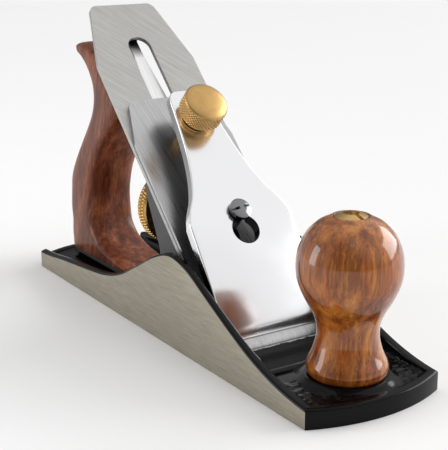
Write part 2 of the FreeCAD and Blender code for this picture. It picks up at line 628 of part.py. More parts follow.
def make_chipbreaker():
    back = size("frog_face") + size("slide_gap")
    low = back + size("iron_thickness") + 0.03
    high = low + size("breaker_thickness")
    top = size("breaker_top")
    breaker = new_body("chipbreaker", bed_place())
    crest = [(-1.3, low + 0.1), (0.8, low + 1.9), (4.5, low + 3.7), (9, low + 3.8), (14, low + 2.5),
                     (19, high)]
    under = [(19, low), (13, low + 0.7), (8.5, low + 1.9), (4.5, low + 1.7), (0.6, low)]
    strip = chain(crest, [(19, high), (top, high)], [(top, high), (top, low)], [(top, low), (19, low)],
                  *zip(under, under[1:]), [(0.6, low), (-1.3, low)], [(-1.3, low), (-1.3, low + 0.1)])
    pad(breaker, sketch(breaker, "YZ", strip), 50.4, symmetric=True)
    half = 25.2
    shape = outline([(-half, -30), (half, -30), (half, 108, 8), (19.5, top, 5), (-19.5, top, 5),
                     (-half, 108, 8)])
    pocket(breaker, sketch(breaker, "XY", rectangle(-60, -60, 60, 260) + shape))
    pocket(breaker, sketch(breaker, "XY", slot_outline(0, 56.5, 64, 5)))
    up = size("yoke_up")
    pocket(breaker, sketch(breaker, "XY", rectangle(-4.5, up - 2.2, 4.5, up + 2.2, 0.5)))
    pocket(breaker, circle(breaker, "XY", (0, size("cap_iron_screw_place")), 3.85))
    turned("cap_iron_screw", bed_place(size("cap_iron_screw_place"), 0), outline(
        [(0, back - 2.7), (7.6, back - 2.7), (8, back - 2.3), (8, back - 0.1), (3.8, back - 0.1),
         (3.8, high + 0.3, 0.4), (0, high + 0.3)]))
    screw = nodes[-1]
    driver_slot = sketch(screw, "XY", rectangle(-9, -0.8, 9, 0.8), lift=back - 2.7)
    pocket(screw, driver_slot, 1.2, reverse=True)


# ---------------------------------------------------------------- lever cap and its screws


def make_lever_cap():
    foot, end = size("cap_foot"), size("cap_end")
    cap = new_body("lever_cap", bed_place())
    face = [(foot, 9.4), (20, 12.0), (40, 15.8), (58, 18.8), (78, 20.0), (105, 20.3), (end, 20.4)]
    under = [(end, 16.0), (105, 15.6), (78, 15.2), (58, 14.2), (40, 11.4), (20, 8.8), (foot, 7.5)]
    strip = chain(face, [(end, 20.4), (end, 16.0)], under, [(foot, 7.5), (foot, 9.4)])
    pad(cap, sketch(cap, "YZ", strip), 50.8, symmetric=True)
    flank = [(25.4, 57), (23.4, 62.5), (18.9, 70), (14.8, 82), (11.6, 98), (9.4, 116)]
    crown = [(9.4, 116), (8.6, 120.5), (5.2, 123.6), (0, end)]
    mirrored = [[(-y, up) for y, up in reversed(run)] for run in (flank, crown)]
    plan_runs = chain([(-25.4, -10), (25.4, -10)], [(25.4, -10), (25.4, 57)], flank, crown,
                      mirrored[1], mirrored[0], [(-25.4, 57), (-25.4, -10)])
    pocket(cap, sketch(cap, "XY", rectangle(-60, -60, 60, 260) + plan_runs))
    lower_roof = [(14, 8.0), (20, 9.4), (40, 12.9), (56, 15.7)]
    upper_roof = [(64, 16.5), (78, 17.2), (98, 17.4)]
    for roof, width in ((lower_roof, 42.0), (upper_roof, 15.0)):
        low, high = roof[0][0], roof[-1][0]
        cavity = chain(roof, [roof[-1], (high, 2)], [(high, 2), (low, 2)], [(low, 2), roof[0]])
        pocket(cap, sketch(cap, "YZ", cavity), width, symmetric=True)
    keyhole = size("cap_keyhole")
    pocket(cap, circle(cap, "XY", (0, keyhole), cell("cap_keyhole_radius")))
    pocket(cap, sketch(cap, "XY", slot_outline(0, keyhole, size("cap_screw_place"), 4.0)))
    pocket(cap, circle(cap, "XY", (0, size("thumb_place")), 3.45))

    radius = size("thumb_radius")
    turned("thumb_screw", bed_place(size("thumb_place"), 0), chain(
        [(0, 5.3), (2.4, 5.3)], [(2.4, 5.3), (3.4, 6.6)], [(3.4, 6.6), (3.4, 20.6)],
        [(3.4, 20.6), (7.6, 20.6)], [(7.6, 20.6), (7.6, 24.0)], [(7.6, 24.0), (radius - 0.8, 24.0)],
        [(radius - 0.8, 24.0), (radius, 24.8)], [(radius, 24.8), (radius, 32.2)],
        [(radius, 32.2), (radius - 1.2, 33.4)], [(radius - 1.2, 33.4), (radius * 0.55, 34.4), (0, 34.8)],
        [(0, 34.8), (0, 5.3)]))


# ---------------------------------------------------------------- lateral lever


def make_lateral_lever():
    lever = new_body("lateral_lever", bed_place())
    half = size("lateral_width") / 2
    low, high = -2.7, -0.9
    pivot = size("lateral_place")
    tab = size("lateral_top")
    strip = outline([(pivot - 12.5, low), (tab - 1.8, low), (tab - 1.8, -9.5), (tab, -9.5), (tab, high, 1.5),
                     (pivot - 12.5, high)])
    pad(lever, sketch(lever, "YZ", strip), cell("lateral_width"), symmetric=True)
    taper = [(half, pivot + 6, 8), (4.4, 136), (2.3, 162, 4), (2.3, 169, 3), (half, 173), (half, 180)]
    ends = outline([(-half, pivot - 12.5, 6), (half, pivot - 12.5, 6)] + taper
                   + [(-spot[0], *spot[1:]) for spot in reversed(taper)])
    pocket(lever, sketch(lever, "XY", rectangle(-60, -60, 60, 260) + ends))
    pocket(lever, circle(lever, "XY", (0, pivot), 2.45))
    roller_place = size("lateral_roller_place")
    pad(lever, circle(lever, "XY", (0, roller_place), 1.5, lift=low), 2.75 - low)
    turned("lateral_roller", bed_place(roller_place, 0), outline(
        [(1.56, -0.7), (4.0, -0.7, 0.3), (4.0, 2.4, 0.3), (1.56, 2.4)]))


make_body_casting()
make_front_knob()
make_rear_handle()
make_frog()
make_frog_fittings()
make_frog_screws()
make_depth_wheel()
make_yoke()
make_iron()
make_chipbreaker()
make_lever_cap()
make_lateral_lever()
doc.recompute()

# ---------------------------------------------------------------- checks and export

for item in doc.Objects:
    if "Invalid" in item.State or "Error" in item.State:
        raise RuntimeError(f"{item.Label} failed: {item.State}")
    if item.TypeId == "PartDesign::Pocket":
        removed = item.BaseFeature.Shape.Volume - item.Shape.Volume
        if removed < 0.1:
            raise RuntimeError(f"{item.Label} removes nothing")

os.makedirs("parts", exist_ok=True)
for node in nodes:
    shape = node.Shape
    if shape.isNull() or not shape.isValid():
        raise RuntimeError(f"{node.Label} has no valid shape")
    shape.exportStep(os.path.join("parts", node.Label + ".step"))
    box = shape.BoundBox
    print(f"{node.Label:22s} solids {len(shape.Solids)} volume {shape.Volume:10.1f}"
          f"  X {box.XMin:7.1f} {box.XMax:7.1f}  Y {box.YMin:6.1f} {box.YMax:6.1f}"
          f"  Z {box.ZMin:6.1f} {box.ZMax:6.1f}")
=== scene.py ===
import json
import math

import bmesh
import bpy
from mathutils import Matrix, Vector, noise


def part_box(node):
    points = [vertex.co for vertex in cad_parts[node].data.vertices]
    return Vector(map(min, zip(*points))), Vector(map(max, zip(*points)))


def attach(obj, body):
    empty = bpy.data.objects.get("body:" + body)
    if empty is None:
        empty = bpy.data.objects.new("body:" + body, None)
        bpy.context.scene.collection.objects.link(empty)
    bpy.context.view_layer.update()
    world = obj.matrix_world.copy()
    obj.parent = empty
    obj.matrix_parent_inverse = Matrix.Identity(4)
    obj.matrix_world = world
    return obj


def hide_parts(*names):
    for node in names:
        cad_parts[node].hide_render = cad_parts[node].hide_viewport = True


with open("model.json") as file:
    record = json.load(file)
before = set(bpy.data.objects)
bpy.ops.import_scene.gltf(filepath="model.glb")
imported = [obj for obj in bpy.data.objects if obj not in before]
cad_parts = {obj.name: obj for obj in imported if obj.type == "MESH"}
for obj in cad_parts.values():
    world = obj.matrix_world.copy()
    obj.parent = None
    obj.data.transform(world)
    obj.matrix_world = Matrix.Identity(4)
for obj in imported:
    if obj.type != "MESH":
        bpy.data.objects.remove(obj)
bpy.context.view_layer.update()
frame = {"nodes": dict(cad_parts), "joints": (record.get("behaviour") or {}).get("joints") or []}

MM = 0.001
TAU = 2 * math.pi

# ------------------------------------------------------------------ places read from the frame

JOINTS = {joint["name"]: joint for joint in frame["joints"]}


def middle(node):
    """Centre of a CAD node's box."""
    low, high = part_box(node)
    return (low + high) / 2


BED_OUT = Vector(JOINTS["thumb_screw_spin"]["axis"]).normalized()
BED_UP = Vector(JOINTS["lever_cap_slide"]["axis"]).normalized()
ACROSS = Vector((0, 1, 0))
LENGTH_MM = (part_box("body_casting")[1].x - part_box("body_casting")[0].x) / MM
HALF_LENGTH = LENGTH_MM / 2
HALF_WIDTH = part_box("body_casting")[1].y / MM


# ------------------------------------------------------------------ mesh helpers


def make_object(name, verts, faces, sharp=35.0):
    """A smooth-shaded mesh object with sharp edges above an angle in degrees; sizes in millimetres."""
    mesh = bpy.data.meshes.new(name)
    mesh.from_pydata([Vector(v) * MM for v in verts], [], faces)
    mesh.validate()
    tidy = bmesh.new()
    tidy.from_mesh(mesh)
    bmesh.ops.remove_doubles(tidy, verts=tidy.verts, dist=1e-7)
    bmesh.ops.recalc_face_normals(tidy, faces=tidy.faces)
    tidy.to_mesh(mesh)
    tidy.free()
    mesh.shade_smooth()
    mesh.set_sharp_from_angle(angle=math.radians(sharp))
    made = bpy.data.objects.new(name, mesh)
    bpy.context.scene.collection.objects.link(made)
    return made


# Half the angle at a corner, in radians, above which it is left as a straight run.
STRAIGHT = 1.5


def spline(points, steps):
    """Catmull-Rom curve through points of any size, evenly many steps a span."""
    padded = [points[0]] + list(points) + [points[-1]]
    out = []
    for i in range(1, len(padded) - 2):
        p0, p1, p2, p3 = padded[i - 1:i + 3]
        for step in range(steps):
            t = step / steps
            out.append(tuple(
                0.5 * (2 * b + (c - a) * t + (2 * a - 5 * b + 4 * c - d) * t * t
                       + (3 * b - a - 3 * c + d) * t ** 3)
                for a, b, c, d in zip(p0, p1, p2, p3)))
    out.append(tuple(points[-1]))
    return out


def rounded(points, radius, steps=5):
    """A run of (x, y) points with each inner corner turned into an arc of that radius."""
    out = []
    count = len(points)
    for i, point in enumerate(points):
        here = Vector(point)
        if i in (0, count - 1):
            out.append(tuple(here))
            continue
        back = Vector(points[i - 1]) - here
        ahead = Vector(points[i + 1]) - here
        half = back.angle(ahead) / 2
        if half > STRAIGHT:
            out.append(tuple(here))
            continue
        run = min(radius / math.tan(half), back.length * 0.48, ahead.length * 0.48)
        arc_radius = run * math.tan(half)
        centre = here + (back.normalized() + ahead.normalized()).normalized() * (arc_radius / math.sin(half))
        start = here + back.normalized() * run - centre
        end = here + ahead.normalized() * run - centre
        sweep = start.angle_signed(end)
        for step in range(steps + 1):
            turn = Matrix.Rotation(-sweep * step / steps, 2)
            out.append(tuple(centre + turn @ start))
    return out


def axis_frame(origin, axis):
    """Matrix that stands local Z on an axis through a point given in metres."""
    turn = Vector(axis).normalized().to_track_quat("Z", "Y").to_matrix().to_4x4()
    return Matrix.Translation(Vector(origin) / MM) @ turn


def lathe(name, profile, place, segments=96, shape=None, sharp=35.0):
    """Turns (radius, height) points about local Z; shape(angle, radius, height) may change a radius."""
    verts, rings = [], []
    for radius, height in profile:
        if radius < 1e-6:
            rings.append([len(verts)])
            verts.append(place @ Vector((0, 0, height)))
            continue
        ring = []
        for i in range(segments):
            angle = TAU * i / segments
            r = shape(angle, radius, height) if shape else radius
            ring.append(len(verts))
            verts.append(place @ Vector((r * math.cos(angle), r * math.sin(angle), height)))
        rings.append(ring)
    faces = []
    closed = len(rings[0]) > 1 and len(rings[-1]) > 1
    pairs = list(zip(rings, rings[1:])) + ([(rings[-1], rings[0])] if closed else [])
    for low, high in pairs:
        for i in range(segments):
            j = (i + 1) % segments
            if len(low) == 1:
                faces.append((low[0], high[i], high[j]))
            elif len(high) == 1:
                faces.append((low[i], low[j], high[0]))
            else:
                faces.append((low[i], low[j], high[j], high[i]))
    return make_object(name, verts, faces, sharp)


def stand_for(piece, body, slot, *nodes):
    """Rides a piece on its body, in place of CAD nodes."""
    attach(piece, body)
    if nodes:
        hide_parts(*nodes)
    return piece


def ease(low, high, value):
    """0 below low, 1 above high, smooth between."""
    share = min(1.0, max(0.0, (value - low) / (high - low)))
    return share * share * (3 - 2 * share)


def ramp_through(points, value):
    """Straight-line interpolation through (place, value) points."""
    if value <= points[0][0]:
        return points[0][1]
    for (x0, y0), (x1, y1) in zip(points, points[1:]):
        if value <= x1:
            return y0 + (y1 - y0) * (value - x0) / (x1 - x0)
    return points[-1][1]


# ------------------------------------------------------------------ materials


class Shader:
    """A material under construction: short names for the nodes it is made of."""

    def __init__(self, name):
        self.material = bpy.data.materials.new(name)
        self.material.use_nodes = True
        self.tree = self.material.node_tree
        self.surface = self.tree.nodes["Principled BSDF"]
        self.place = self.tree.nodes.new("ShaderNodeTexCoord").outputs["Object"]

    def node(self, kind, **inputs):
        made = self.tree.nodes.new("ShaderNode" + kind)
        for key, value in inputs.items():
            socket = made.inputs[key.replace("_", " ")] if isinstance(key, str) else made.inputs[key]
            self.feed(socket, value)
        return made

    def feed(self, socket, value):
        if isinstance(value, bpy.types.NodeSocket):
            self.tree.links.new(value, socket)
        else:
            socket.default_value = value

    def set(self, **inputs):
        for key, value in inputs.items():
            self.feed(self.surface.inputs[key.replace("_", " ")], value)

    def mapped(self, scale=(1, 1, 1), turn=(0, 0, 0), source=None):
        return self.node("Mapping", Vector=source or self.place, Scale=scale, Rotation=turn).outputs["Vector"]

    def noise(self, vector, scale=1.0, detail=3.0, rough=0.5, distortion=0.0):
        return self.node("TexNoise", Vector=vector, Scale=scale, Detail=detail, Roughness=rough,
                         Distortion=distortion).outputs["Fac"]

    def curve(self, value, *stops):
        made = self.node("ValToRGB", Fac=value)
        elements = made.color_ramp.elements
        while len(elements) < len(stops):
            elements.new(0.5)
        for element, (place, colour) in zip(elements, stops):
            element.position = place
            if isinstance(colour, (int, float)):
                colour = (colour, colour, colour)
            element.color = (*colour, 1)
        return made.outputs["Color"]

    def mix(self, share, first, second):
        made = self.tree.nodes.new("ShaderNodeMix")
        made.data_type = "RGBA"
        self.feed(made.inputs[0], share)
        self.feed(made.inputs[6], first)
        self.feed(made.inputs[7], second)
        return made.outputs[2]

    def math(self, kind, first, second=0.0, third=0.0):
        made = self.tree.nodes.new("ShaderNodeMath")
        made.operation = kind
        for socket, value in zip(made.inputs, (first, second, third)):
            self.feed(socket, value)
        return made.outputs[0]

    def bump(self, height, strength, distance, normal=None):
        made = self.node("Bump", Height=height, Strength=strength, Distance=distance)
        if normal is not None:
            self.feed(made.inputs["Normal"], normal)
        return made.outputs["Normal"]

    def parts(self, vector):
        return self.node("SeparateXYZ", Vector=vector).outputs


BED_TURN = (0.0, math.radians(45), 0.0)


def brushed_metal(name, colour, roughness, grain, slant, contrast):
    """Ground metal on the bed slope: fine scratches at a slant, cloudy tone, varied roughness."""
    s = Shader(name)
    turned = s.mapped(turn=(math.radians(slant), 0, 0), source=s.mapped(turn=BED_TURN))
    fine = s.noise(s.mapped(scale=(grain, grain, grain * 0.03), source=turned), 1.0, 4.0, 0.65)
    broad = s.noise(s.mapped(scale=(grain * 0.25, grain * 0.25, grain * 0.01), source=turned), 1.0, 3.0)
    cloud = s.noise(s.place, 35.0, 3.0)
    dark = tuple(c * (1 - contrast) for c in colour) + (1,)
    light = tuple(min(1.0, c * (1 + contrast)) for c in colour) + (1,)
    tone = s.mix(s.curve(fine, (0.3, 0.0), (0.7, 1.0)), dark, light)
    tone = s.mix(s.math("MULTIPLY", s.curve(broad, (0.35, 0.0), (0.65, 1.0)), 0.35), tone, dark)
    s.set(Base_Color=tone, Metallic=1.0)
    rough = s.math("MULTIPLY_ADD", cloud, 0.10, roughness - 0.05)
    s.set(Roughness=s.math("MULTIPLY_ADD", fine, 0.10, rough))
    s.set(Normal=s.bump(fine, 0.06, 0.0002))
    return s.material


def japanned_enamel():
    """Thick glossy black enamel with orange peel, runs and dust."""
    s = Shader("black_japan")
    peel = s.noise(s.place, 420.0, 2.0)
    runs = s.noise(s.mapped(scale=(1, 1.4, 1)), 110.0, 3.0, 0.6)
    dust = s.curve(s.noise(s.place, 2600.0, 1.0), (0.70, 0.0), (0.78, 1.0))
    tone = s.mix(s.math("MULTIPLY", dust, 0.06), (0.0025, 0.0025, 0.003, 1), (0.06, 0.06, 0.06, 1))
    s.set(Base_Color=tone, Metallic=0.0, IOR=1.42, Specular_IOR_Level=0.18)
    s.set(Roughness=s.math("MULTIPLY_ADD", runs, 0.10, 0.05))
    first = s.bump(runs, 0.16, 0.0005)
    s.set(Normal=s.bump(peel, 0.12, 0.0002, first))
    return s.material


def ground_casting():
    """Bare ground iron on the cheeks and sole: warm grey, with fine lengthwise grinding marks."""
    s = Shader("ground_iron")
    fine = s.noise(s.mapped(scale=(90, 2600, 2600)), 1.0, 4.0, 0.7)
    long_marks = s.noise(s.mapped(scale=(14, 900, 900)), 1.0, 3.0, 0.6)
    cloud = s.noise(s.place, 22.0, 4.0, 0.6)
    tone = s.mix(s.curve(fine, (0.30, 0.0), (0.70, 1.0)), (0.19, 0.17, 0.13, 1), (0.39, 0.36, 0.285, 1))
    tone = s.mix(s.math("MULTIPLY", s.curve(long_marks, (0.40, 0.0), (0.62, 1.0)), 0.30), tone,
                 (0.28, 0.255, 0.20, 1))
    tone = s.mix(s.math("MULTIPLY", cloud, 0.22), tone, (0.46, 0.43, 0.36, 1))
    s.set(Base_Color=tone, Metallic=0.7)
    s.set(Roughness=s.math("MULTIPLY_ADD", fine, 0.16, 0.42))
    s.set(Normal=s.bump(fine, 0.10, 0.0002))
    return s.material


def varnished_wood(name, dark, mid, light, grain_turn, coat=1.0, rough=0.28, shine=0.1):
    """Red-brown hardwood under varnish: growth figure, pores and streaks along the grain."""
    s = Shader(name)
    along = s.mapped(turn=grain_turn)
    warp = s.noise(s.mapped(scale=(1, 1, 0.35), source=along), 42.0, 3.0, 0.6)
    x, y, z = s.parts(along)[:3]
    figure_place = s.node("CombineXYZ", X=s.math("MULTIPLY_ADD", warp, 0.016, x),
                          Y=s.math("MULTIPLY_ADD", warp, 0.010, y), Z=s.math("MULTIPLY", z, 0.12))
    rings = s.noise(figure_place.outputs["Vector"], 240.0, 3.0, 0.6)
    bands = s.noise(s.mapped(scale=(1, 1, 0.14), source=along), 75.0, 4.0, 0.6, 1.2)
    pores = s.noise(s.mapped(scale=(1, 1, 0.05), source=along), 2100.0, 2.0, 0.5)
    fleck = s.noise(s.mapped(scale=(1, 1, 0.10), source=along), 900.0, 2.0, 0.6)
    tone = s.curve(bands, (0.30, dark), (0.50, mid), (0.72, light))
    tone = s.mix(s.curve(rings, (0.42, 0.0), (0.60, 0.65)), tone, (*dark, 1))
    tone = s.mix(s.math("MULTIPLY", s.curve(fleck, (0.52, 0.0), (0.72, 1.0)), 0.35), tone, (*light, 1))
    pore_mask = s.curve(pores, (0.60, 0.0), (0.70, 1.0))
    tone = s.mix(s.math("MULTIPLY", pore_mask, 0.55), tone, tuple(c * 0.35 for c in dark) + (1,))
    s.set(Base_Color=tone, Metallic=0.0, Coat_Weight=coat, Coat_Roughness=0.05, IOR=1.5,
          Specular_IOR_Level=shine)
    s.set(Roughness=s.math("MULTIPLY_ADD", bands, 0.14, rough))
    s.set(Normal=s.bump(pore_mask, -0.10, 0.0001))
    return s.material


def turned_brass(name, colour, roughness, centre, axis):
    """Satin brass with fine rings about its own axis and a little tarnish."""
    s = Shader(name)
    turn = Vector(axis).to_track_quat("Z", "Y").inverted().to_euler()
    flat = s.node("Mapping", Vector=s.place, Rotation=tuple(turn))
    local_centre = Matrix(turn.to_matrix()) @ Vector(centre)
    flat.inputs["Location"].default_value = -local_centre
    x, y, z = s.parts(flat.outputs["Vector"])[:3]
    radius = s.math("SQRT", s.math("ADD", s.math("MULTIPLY", x, x), s.math("MULTIPLY", y, y)))
    ring_place = s.node("CombineXYZ", X=radius, Y=z, Z=0.0)
    rings = s.noise(ring_place.outputs["Vector"], 2600.0, 2.0, 0.6)
    tarnish = s.noise(s.place, 160.0, 4.0, 0.6)
    dark = tuple(c * 0.62 for c in colour) + (1,)
    tone = s.mix(s.math("MULTIPLY", s.curve(tarnish, (0.45, 0.0), (0.75, 1.0)), 0.55), (*colour, 1), dark)
    tone = s.mix(s.math("MULTIPLY", s.curve(rings, (0.35, 0.0), (0.65, 1.0)), 0.22), tone, dark)
    s.set(Base_Color=tone, Metallic=1.0)
    s.set(Roughness=s.math("MULTIPLY_ADD", tarnish, 0.16, roughness))
    s.set(Normal=s.bump(rings, 0.12, 0.0001))
    return s.material


def mirror_chrome():
    """Polished chrome plate with faint polishing marks and smudges."""
    s = Shader("mirror_chrome")
    smudge = s.noise(s.place, 60.0, 4.0, 0.6)
    marks = s.noise(s.mapped(turn=BED_TURN), 1400.0, 2.0, 0.5)
    tone = s.mix(s.math("MULTIPLY", smudge, 0.25), (0.80, 0.80, 0.81, 1), (0.70, 0.705, 0.73, 1))
    s.set(Base_Color=tone, Metallic=1.0)
    s.set(Roughness=s.math("MULTIPLY_ADD", s.curve(smudge, (0.4, 0.0), (0.7, 1.0)), 0.06, 0.16))
    s.set(Normal=s.bump(marks, 0.012, 0.0001))
    return s.material


def plain_steel(name, colour=(0.60, 0.60, 0.61), roughness=0.26):
    """Bright machined steel for small screws, pins and levers."""
    s = Shader(name)
    marks = s.noise(s.place, 1800.0, 3.0, 0.6)
    cloud = s.noise(s.place, 120.0, 3.0, 0.6)
    shade = tuple(c * 0.78 for c in colour) + (1,)
    tone = s.mix(s.curve(cloud, (0.35, 0.0), (0.7, 1.0)), (*colour, 1), shade)
    s.set(Base_Color=tone, Metallic=1.0)
    s.set(Roughness=s.math("MULTIPLY_ADD", marks, 0.14, roughness - 0.05))
    s.set(Normal=s.bump(marks, 0.05, 0.0001))
    return s.material


def polished_lever():
    """The lateral lever's polished strip, its tip darkened by a painted shadow and reflection of the blade
    above it.
    """
    s = Shader("lever_steel")
    flat = s.mapped(turn=BED_TURN)
    marks = s.noise(s.mapped(scale=(1800, 1800, 50), source=flat), 1.0, 3.0, 0.6)
    cloud = s.noise(s.place, 90.0, 3.0, 0.6)
    # Painted shade: above this height up the bed the lever turns near black, standing in for the blade's
    # shadow and dark reflection on the tip.
    painted_shadow_tip = s.curve(s.math("MULTIPLY_ADD", cloud, 0.0015, s.parts(flat)[2]), (0.1236, 0.0), (0.1258, 1.0))
    tone = s.mix(s.curve(marks, (0.3, 0.0), (0.7, 1.0)), (0.72, 0.72, 0.72, 1), (0.86, 0.86, 0.86, 1))
    # The near-black colour mixed in here is the painted shadow on the tip.
    s.set(Base_Color=s.mix(painted_shadow_tip, tone, (0.035, 0.035, 0.037, 1)), Metallic=1.0)
    s.set(Roughness=s.math("MULTIPLY_ADD", cloud, 0.12, 0.22), Normal=s.bump(marks, 0.03, 0.0001))
    return s.material


def raw_casting(name, dark, light, metal=0.3, shine=0.5):
    """Dull unpolished cast metal, cloudy in tone, with pitted roughness and bumps."""
    s = Shader(name)
    pits = s.noise(s.place, 900.0, 4.0, 0.65)
    cloud = s.noise(s.place, 110.0, 3.0, 0.6)
    s.set(Base_Color=s.mix(cloud, (*dark, 1), (*light, 1)), Metallic=metal, Specular_IOR_Level=shine)
    s.set(Roughness=s.math("MULTIPLY_ADD", pits, 0.22, 0.45), Normal=s.bump(pits, 0.35, 0.0004))
    return s.material


def frog_enamel():
    """Dark grey satin enamel over a cast surface."""
    s = Shader("frog_enamel")
    cast = s.noise(s.place, 700.0, 3.0, 0.6)
    cloud = s.noise(s.place, 80.0, 3.0, 0.6)
    tone = s.mix(cloud, (0.026, 0.028, 0.029, 1), (0.050, 0.052, 0.054, 1))
    s.set(Base_Color=tone, Metallic=0.0)
    s.set(Roughness=s.math("MULTIPLY_ADD", cast, 0.18, 0.34))
    s.set(Normal=s.bump(cast, 0.16, 0.0004))
    return s.material


STEEL = plain_steel("bright_steel")
CHROME = mirror_chrome()
ENAMEL = japanned_enamel()
GROUND = ground_casting()
FROG_PAINT = frog_enamel()
LEVER_STEEL = polished_lever()
DULL_BLACK = raw_casting("dull_black", (0.004, 0.004, 0.0045), (0.010, 0.010, 0.011), 0.0, 0.12)
LIP_STEEL = plain_steel("lip_steel", (0.50, 0.50, 0.50), 0.42)
CAP_INSIDE = raw_casting("cap_inside", (0.018, 0.018, 0.019), (0.045, 0.045, 0.047))
IRON_STEEL = brushed_metal("iron_steel", (0.44, 0.435, 0.42), 0.36, 2600, -42, contrast=0.20)
BREAKER_STEEL = brushed_metal("breaker_steel", (0.46, 0.46, 0.465), 0.24, 1500, -8, contrast=0.20)
KNOB_WOOD = varnished_wood("knob_wood", (0.10, 0.018, 0.003), (0.38, 0.100, 0.014), (0.68, 0.265, 0.045),
                           (0.12, 0.05, 0.0))
HANDLE_WOOD = varnished_wood("handle_wood", (0.070, 0.014, 0.005), (0.24, 0.065, 0.026), (0.44, 0.16, 0.080),
                             (0.0, math.radians(-16), 0.0), coat=0.25, rough=0.36, shine=0.15)


def dress(node, material, bevel=0.0):
    """Gives a CAD node its material and softens its edges."""
    piece = frame["nodes"][node]
    piece.data.materials.clear()
    piece.data.materials.append(material)
    if bevel:
        edge = piece.modifiers.new("edge", "BEVEL")
        edge.width = bevel * MM
        edge.segments = 2
        edge.limit_method = "ANGLE"
        edge.angle_limit = math.radians(32)


# ------------------------------------------------------------------ body casting

TOE_BULGE, HEEL_BULGE = 7.2, 10.0
CHEEK_LINE = [(-130, 8.2), (-106, 8.8), (-85, 11.2), (-60, 13.6), (-40, 16), (-24, 20.6), (-8, 28.7),
              (8, 37.2), (21, 41), (34, 38.3), (48, 31.3), (64, 23.2), (80, 16), (96, 10.9), (112, 8.2),
              (130, 7.4)]
cheek_curve = spline(CHEEK_LINE, 12)
FLOOR_LINE = [(-122, 4.5), (-48, 4.5), (-45.5, 6.9), (-43.5, 6.9), (-41, 4.5), (50, 4.5), (58, 8.4),
              (60.5, 8.6), (66.2, 8.25), (66.9, 7.9), (67.6, 6.6), (78.2, 6.5), (79.2, 7.9), (80.2, 8.25),
              (81.4, 8.2), (82.6, 7.7), (84, 6.8), (122, 6.8)]
HEEL_LIP = 5.9
SEAT_TOP, HANDLE_PAD_TOP = 12.0, 7.6
KNOB_AXIS = 99.1
MOUTH_BACK, MOUTH_FRONT, MOUTH_HALF = 52.2, 60.5, 27.0
WELL_END = 78.4
# Share of the wall's height at distances in from the cheek's outer face.
WALL = [(1.0, 1.0), (2.6, 1.0), (3.2, 0.985), (3.7, 0.94), (3.95, 0.84), (4.1, 0.60), (4.3, 0.30),
        (4.6, 0.15), (5.2, 0.07), (6.2, 0.02), (7.4, 0.0)]
RIM = [(1.0, 1.0), (2.6, 1.0), (3.2, 0.93), (3.7, 0.70), (4.2, 0.35), (4.8, 0.12), (5.8, 0.0)]
BOSS = [(0, 2.4), (16.3, 2.4), (16.9, 2.25), (18.6, 1.15), (19.2, 0.75), (20.2, 0.25), (21.6, 0.0)]
EDGE_ROUND = [(0.0, 1.0), (0.12, 0.62), (0.35, 0.32), (0.7, 0.09), (1.1, 0.0)]


def end_line(y, bulge):
    """How far the curved end stands back at a distance from the middle."""
    radius = (HALF_WIDTH ** 2 + bulge ** 2) / (2 * bulge)
    return radius - math.sqrt(radius ** 2 - y * y)


def casting_height(x, y, toe_gap, heel_gap):
    """Height of the casting's upper surface."""
    side = HALF_WIDTH - abs(y)
    rim_top = ramp_through(cheek_curve, x)
    floor = ramp_through(FLOOR_LINE, x)
    seat = ease(3.2, 4.8, x) * (1 - ease(37.5, 41.5, x)) * (1 - ease(21.0, 22.6, abs(y)))
    floor = floor + (SEAT_TOP - floor) * seat
    pad_edge = max(abs(y) - 9.0, -117.0 - x, x + 54.0)
    floor = floor + (HANDLE_PAD_TOP - floor) * (1 - ease(0.0, 1.6, pad_edge)) * (x < -50)
    knob_gap = math.hypot(x - KNOB_AXIS, y)
    if x > 72:
        floor += ramp_through(BOSS, knob_gap)
        pooled = ease(30, 6, math.hypot(x - 112, abs(y) - 22)) * 0.5 + 0.16
        lumps = noise.noise(Vector((x * 0.45, y * 0.45, 0.0)))
        lumps += noise.noise(Vector((x * 1.1, y * 1.1, 5.0))) * 0.6
        floor += lumps * pooled * ease(18.8, 21.0, knob_gap) * ease(84, 90, x)
    side_wall = ramp_through(WALL, side)
    wall = max(side_wall, ramp_through(RIM, toe_gap))
    top = floor + (max(rim_top, floor) - floor) * wall
    top = max(top, floor + (HEEL_LIP - floor) * ramp_through(RIM, heel_gap) * (floor < HEEL_LIP))
    lost = max(ramp_through(EDGE_ROUND, gap) for gap in (side, toe_gap, heel_gap))
    return top - lost


def stations(low, high, step, *dense):
    """Even stations with finer ones, given as (start, end, step)."""
    marks = {round(low + i * step, 4) for i in range(int((high - low) / step) + 1)} | {low, high}
    for start, end, fine in dense:
        marks |= {round(start + i * fine, 4) for i in range(int((end - start) / fine) + 1)}
    return sorted(marks)


